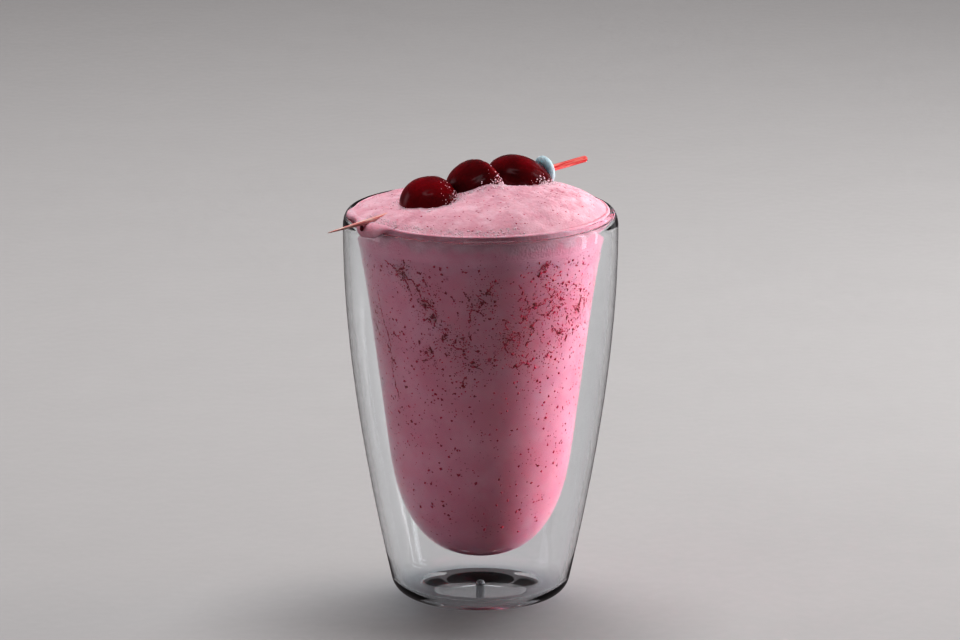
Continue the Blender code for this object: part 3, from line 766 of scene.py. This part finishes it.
# the grain reads the place in the pick's own frame: x and y across it, z along it
across, above, along = (
    add(tree, "VectorMath", {0: place, 1: tuple(axis)}, operation="DOT_PRODUCT").outputs["Value"]
    for axis in (pick_side, pick_up, pick_along))
lengthwise = add(tree, "Math", {0: along, 1: 0.06}, operation="MULTIPLY").outputs[0]
fibre_place = add(tree, "CombineXYZ", {0: across, 1: above, 2: lengthwise}).outputs[0]
fibres = noise(tree, fibre_place, 2600, 3, 0.6)
tip_along = float(PICK_TIP @ pick_along)
dyed = span(tree, along, tip_along + DYED[0], tip_along + DYED[1])
thin = blend(tree, span(tree, fibres, 0.42, 0.60), (0.88, 0.34, 0.32), (0.96, 0.84, 0.74))
full_dye = blend(tree, span(tree, fibres, 0.40, 0.62), (0.76, 0.05, 0.06), (0.95, 0.30, 0.26))
tree.links.new(blend(tree, dyed, thin, full_dye), shader.inputs["Base Color"])
tree.links.new(span(tree, fibres, 0.3, 0.7, 0.35, 0.55), shader.inputs["Roughness"])
relief(tree, shader, fibres, 0.3, 0.0001)
skin("bamboo_pick", thread_on(rows, 0.0), bamboo, ["pick"])

# The bead
# A flattened bead of frosted grey-blue glass, bored for the pick. It sits in the last cherry's hollow
# and keeps the cherries from sliding up.

BEAD_PLACE = 0.0824       # along the pick, from its tip
BEAD_RADIUS = 0.0049
BEAD_HALF = 0.0025        # half its thickness
BEAD_ROOM = 0.00015       # left open between the pick and the bore
BEAD_SIDES = 72

edge = math.acos((PICK_RADIUS + BEAD_ROOM) / BEAD_RADIUS)
turn = np.linspace(-edge, edge, 60)
bead_profile = np.stack([BEAD_RADIUS * np.cos(turn), BEAD_HALF * np.sin(turn)], 1)
frosted, tree, shader, place = finish_of(
    "frosted_glass", Subsurface_Weight=1.0, Subsurface_Scale=0.006, Subsurface_Radius=(0.8, 1.0, 1.0),
    Specular_IOR_Level=0.4)
mottled(tree, shader, place, 420, 3, (0.36, 0.42, 0.455), (0.46, 0.51, 0.545))
uneven_gloss(tree, shader, place, 900, 2, 0.3, 0.7, 0.28, 0.48)
relief(tree, shader, noise(tree, place, 3000, 3), 0.3, 0.0001)
skin("frosted_bead", thread_on(turn_rows(bead_profile, BEAD_SIDES), BEAD_PLACE), frosted,
     ["bead"], loop=True)

# The bubbles in the foam
# Larger bubbles of milk gather where the foam meets the cherries, thickest on the right of each, and
# along the foam's edge at the left front. They are pale pink, half sunk, with a bright glint on each one.

BUBBLES_EACH = 220        # bubbles at the foot of each cherry
BUBBLE_RADII = (0.00012, 0.00040)     # the smallest, and how much larger the largest is
BUBBLES_SPREAD = 0.0030   # how far from the cherry they reach
FOOT_BAND = 0.0005        # half height of the band on a cherry that counts as its foot
CLIMBERS_EACH = 90        # bubbles up the side of each cherry
CLIMBER_RADII = (0.00010, 0.00026)
CLIMB = 0.0012            # height by which those thin out
CLIMB_FROM = -0.0003      # lowest of them, above the foam
EDGE_BUBBLES = 420
EDGE_RADII = (0.00012, 0.00034)
EDGE_STRETCH = (206.0, 292.0)         # bearings in degrees
EDGE_BAND = 0.075         # how far in from the edge they reach, as a share of its radius
BALL_SIDES = 10
BALL_FACES = 7            # from pole to pole

bearing = np.linspace(0, 2 * math.pi, BALL_SIDES, endpoint=False)
slant = np.linspace(0, math.pi, BALL_FACES + 1)[:, None]
ball = np.stack([np.sin(slant) * np.cos(bearing), np.sin(slant) * np.sin(bearing),
                 np.cos(slant) + 0 * bearing], axis=2)


def balls_piece(name, centres, radii, finish):
    """Many small closed balls as one mesh: the ball's points times each radius, plus each centre."""
    count, sides = ball.shape[0] - 2, ball.shape[1]
    shape = np.concatenate([ball[1:-1].reshape(-1, 3), [[0, 0, 1.0], [0, 0, -1.0]]])
    index = np.arange(count * sides).reshape(count, sides)
    beside = np.roll(index, -1, axis=1)
    quads = np.stack([index[:-1], index[1:], beside[1:], beside[:-1]], -1).reshape(-1, 4)
    north, south = np.full(sides, count * sides), np.full(sides, count * sides + 1)
    fans = np.concatenate([np.stack([north, index[0], beside[0]], 1),
                           np.stack([south, beside[-1], index[-1]], 1)])
    points = centres[:, None] + radii[:, None, None] * shape
    first = (np.arange(len(radii)) * len(shape))[:, None, None]
    faces = (first + quads).reshape(-1, 4).tolist() + (first + fans).reshape(-1, 3).tolist()
    return mesh_piece(name, points.reshape(-1, 3), faces, finish)


def facing(points, middle, toward, half):
    """How nearly points lie at a bearing from the middle: a bell curve, with its half width in radians."""
    aside = points - middle
    return np.exp(-((np.arctan2(aside[:, 1], aside[:, 0]) - toward) / half) ** 2)


centres, radii = [], []
for number, rows in enumerate(cherries, start=1):
    rng = np.random.default_rng(40 + number)
    surface = rows.reshape(-1, 3)
    off = surface[:, 2] - on_the_foam(surface[:, :2], 0.0, 0.0, 0.0)[:, 2]
    line = surface[np.abs(off) < FOOT_BAND]
    middle = surface.mean(axis=0)
    # the chance of a bubble grows towards the right and the front of each cherry
    chance = 0.15 + facing(line, middle, -0.75, 0.7)
    picked = line[rng.choice(len(line), BUBBLES_EACH, p=chance / chance.sum())]
    outward = picked - middle
    outward[:, 2] = 0
    outward /= np.linalg.norm(outward, axis=1)[:, None]
    size = small_sizes(rng, BUBBLE_RADII, 0.45, BUBBLES_EACH)
    spread = small_sizes(rng, (0, BUBBLES_SPREAD), 0.45, BUBBLES_EACH)
    spot = picked + outward * spread[:, None]
    spot[:, 2] = on_the_foam(spot[:, :2], 0.0, 0.0, 0.0)[:, 2] - 0.4 * size
    centres.append(spot)
    radii.append(size)
    # on the right of the cherry they climb its side, fewer with height
    climb = np.where(off > CLIMB_FROM, np.exp(-off / CLIMB), 0) * facing(surface, middle, -0.55, 0.42)
    centres.append(surface[rng.choice(len(surface), CLIMBERS_EACH, p=climb / climb.sum())])
    radii.append(small_sizes(rng, CLIMBER_RADII, 0.6, CLIMBERS_EACH))
# more stand along the foam's edge at the left front
rng = np.random.default_rng(51)
around = np.radians(rng.uniform(*EDGE_STRETCH, EDGE_BUBBLES))
_, start, thickness = foam_edge(around)
out = beside_glass(start, thickness)[0] * (1 - EDGE_BAND * rng.power(0.7, EDGE_BUBBLES))
size = small_sizes(rng, EDGE_RADII, 0.4, EDGE_BUBBLES)
spot = on_the_foam(np.stack([out * np.cos(around), out * np.sin(around)], 1), 0.0, 0.0, -0.45 * size)
centres, radii = np.concatenate([*centres, spot]), np.concatenate([*radii, size])

bubble_film, tree, shader, place = finish_of(
    "bubble_film", Roughness=0.12, Subsurface_Weight=0.6, Subsurface_Scale=0.0008,
    Subsurface_Radius=(1.0, 0.8, 0.85), Coat_Weight=0.7, Coat_Roughness=0.08)
mottled(tree, shader, place, 500, 2, (0.86, 0.50, 0.58), (0.96, 0.74, 0.80))
balls_piece("foam_bubbles", centres, radii, bubble_film)

# The dark drop under the pick
# One small dark red drop that hangs from the pick against the foam, where a dark red spot lies under it.

DROP_PLACE = 0.0126       # distance from the pick's tip
DROP_RADIUS = 0.00062
DROP_LONG = 1.6           # its height in widths
DROP_SIDES = 24

turn = np.linspace(0, math.pi, 16)
hanging_drop_profile = DROP_RADIUS * np.stack([np.sin(turn), -DROP_LONG * np.cos(turn)], 1)
hanging_drop = turn_rows(hanging_drop_profile, DROP_SIDES)
hanging_drop += PICK_TIP + DROP_PLACE * pick_along - (0, 0, 0.6 * PICK_RADIUS + DROP_LONG * DROP_RADIUS)
drop_finish, tree, shader, place = finish_of("dark_red_drop_finish", Roughness=0.15, Coat_Weight=0.5, Coat_Roughness=0.05)
mottled(tree, shader, place, 900, 2, (0.10, 0.001, 0.006), (0.20, 0.004, 0.014))
skin("dark_drop_under_pick", hanging_drop, drop_finish)

# The table
# A plain pale matt surface, wide enough to fill every view.

TABLE_REACH = 6.0
TABLE_SIDES = 96
TABLE_BELOW = 0.00002     # how far it lies under the glass's base, so that the two never flicker

matt, tree, shader, place = finish_of("pale_matt_table", Specular_IOR_Level=0.2)
mottled(tree, shader, place, 30, 4, (0.42, 0.415, 0.415), (0.44, 0.435, 0.435))
uneven_gloss(tree, shader, place, 200, 3, 0.3, 0.7, 0.55, 0.7)
edge = turn_rows([(TABLE_REACH, -TABLE_BELOW)], TABLE_SIDES)[0]
around = np.arange(TABLE_SIDES)
wedges = np.stack([np.full(TABLE_SIDES, TABLE_SIDES), around, np.roll(around, -1)], 1)
table_mesh = bpy.data.meshes.new("table")
table_mesh.from_pydata([*edge.tolist(), (0, 0, -TABLE_BELOW)], [], wedges.tolist())
table_mesh.materials.append(matt)
table = bpy.data.objects.new("table", table_mesh)
bpy.context.collection.objects.link(table)
table.visible_glossy = False    # keeps its glare off the front of the glass
table.visible_diffuse = False   # and its pale light off the shaded side of the drink

# The light and the camera
# A low softbox from the right lights the drink and one above lights the foam, with a weak fill at the
# left and a dim pale surround. Thin dim lamps show only as streaks and sheens in the glass and on the
# cherries. The camera has the photo's long lens and looks down on the rim.

# each lamp: name, place, height that it faces, width and height, watts, colour, whether it lights
LAMPS = (
    ("right_softbox", (0.96, 0.27, 0.10), 0.075, (0.50, 0.14), 13.5, (1.0, 0.985, 0.97), True),
    ("right_sheen", (0.70, 0.98, 0.30), 0.07, (0.35, 0.80), 0.25, (0.96, 0.98, 1.0), False),
    ("top_softbox", (0.10, 0.45, 1.40), 0.0, (1.0, 0.8), 18.0, (1.0, 0.99, 0.985), True),
    ("left_fill", (-0.84, -0.50, 0.20), 0.07, (0.50, 0.40), 1.8, (1.0, 0.94, 0.96), True),
    ("left_sheen", (-0.95, 0.20, 0.34), 0.12, (0.40, 0.60), 0.6, (0.93, 0.96, 1.0), False),
    ("near_streak", (1.02, 0.08, 0.26), 0.07, (0.11, 0.75), 0.6, (0.96, 0.98, 1.0), False),
    ("far_streak", (0.97, 0.36, 0.26), 0.07, (0.06, 0.75), 0.3, (0.96, 0.98, 1.0), False),
    ("high_sheen", (0.10, -0.70, 1.15), 0.13, (0.80, 0.30), 1.0, (0.95, 0.97, 1.0), False))
SURROUND = (0.94, 0.85, 0.88, 1.0)
SURROUND_STRENGTH = 0.11
CAMERA_DISTANCE = 2.0     # from the glass's axis
CAMERA_PITCH = 13.3       # degrees below level
CAMERA_HEIGHT = 0.0902    # height on the glass's axis that the camera looks at
FOCAL_PIXELS = 6238.0     # focal length in pixels of the photo
PHOTO_WIDTH = 960.0
CENTRE_COLUMN = 480.6     # the glass's axis in the photo
SENSOR = 36.0             # in millimetres


def soft_light(name, place_at, aim, size, watts, colour, lights):
    """A soft box turned to the glass's axis at a height: one that lights, or is only seen in the glass."""
    lamp = bpy.data.lights.new(name, "AREA")
    lamp.shape, lamp.size, lamp.size_y = "RECTANGLE", *size
    lamp.energy, lamp.color = watts, colour
    # off, all its light goes straight through the glass onto the drink; on, sharp glass shows the lamp
    lamp.cycles.use_multiple_importance_sampling = not lights
    light = bpy.data.objects.new(name, lamp)
    bpy.context.collection.objects.link(light)
    light.visible_diffuse = lights
    light.visible_glossy = light.visible_transmission = not lights
    toward = np.array((0, 0, aim)) - np.array(place_at)
    toward = toward / np.linalg.norm(toward)
    light.location = place_at
    light.rotation_euler = (math.acos(-toward[2]), 0, math.atan2(toward[1], toward[0]) - 0.5 * math.pi)


for lamp_row in LAMPS:
    soft_light(*lamp_row)

world = bpy.data.worlds.new("pale_surround")
world.use_nodes = True
background = world.node_tree.nodes["Background"]
background.inputs["Color"].default_value = SURROUND
background.inputs["Strength"].default_value = SURROUND_STRENGTH
bpy.context.scene.world = world

lens = bpy.data.cameras.new("camera")
lens.sensor_width = SENSOR
lens.lens = FOCAL_PIXELS * SENSOR / PHOTO_WIDTH
lens.clip_end = 30.0
camera = bpy.data.objects.new("camera", lens)
bpy.context.collection.objects.link(camera)
pitch = math.radians(CAMERA_PITCH)
aside = (0.5 * PHOTO_WIDTH - CENTRE_COLUMN) / FOCAL_PIXELS * CAMERA_DISTANCE
camera.location = (aside, -CAMERA_DISTANCE * math.cos(pitch),
                   CAMERA_HEIGHT + CAMERA_DISTANCE * math.sin(pitch))
camera.rotation_euler = (0.5 * math.pi - pitch, 0, 0)
bpy.context.scene.camera = camera
bpy.context.scene.view_settings.view_transform = "Standard"
bpy.context.scene.view_settings.look = "High Contrast"
